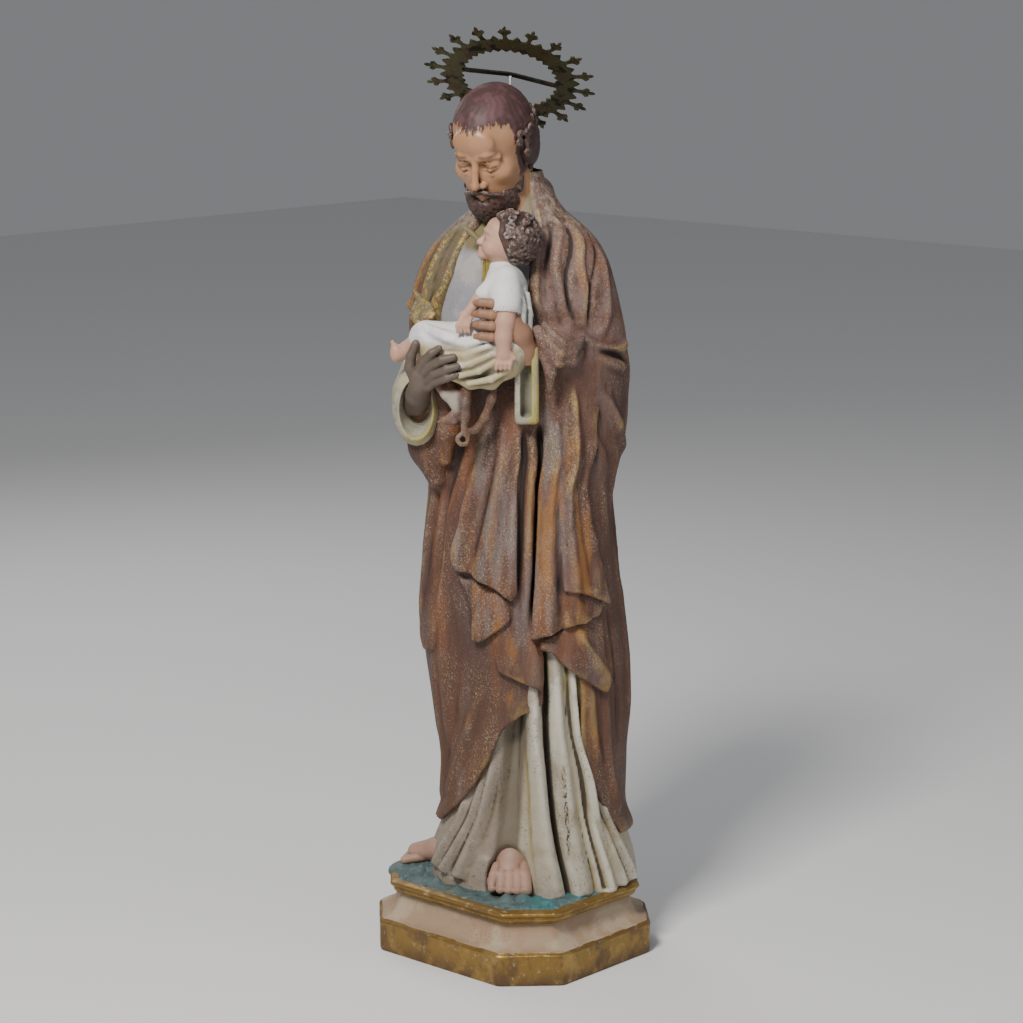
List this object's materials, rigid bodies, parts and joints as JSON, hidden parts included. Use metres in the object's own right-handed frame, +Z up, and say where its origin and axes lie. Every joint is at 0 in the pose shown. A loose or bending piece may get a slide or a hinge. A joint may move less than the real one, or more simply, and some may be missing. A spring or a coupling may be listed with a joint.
{
  "type": "devotional statue",
  "caption": "Standing bearded saint in tunic and mantle holding a child, painted cast on a moulded gilt plinth, with a tilted sheet metal halo.",
  "frame": {"origin": "centre of the plinth's underside, on the floor", "axes": "+Z up, -Y is the statue's front, along the plinth's long side; +X is the saint's left"},
  "size_m": [0.2606, 0.2477, 0.9506],
  "materials": {
    "painted_plaster": "worn polychrome paint and gilding on cast plaster",
    "dark_bronze": "darkened cut sheet brass",
    "dark_strap": "darkened flat strap",
    "bright_wire": "bright wire"
  },
  "bodies": {
    "root": {"statue": "painted_plaster", "halo_ring": "dark_bronze", "halo_crossbar": "dark_strap", "halo_pin": "bright_wire"}
  },
  "joints": []
}
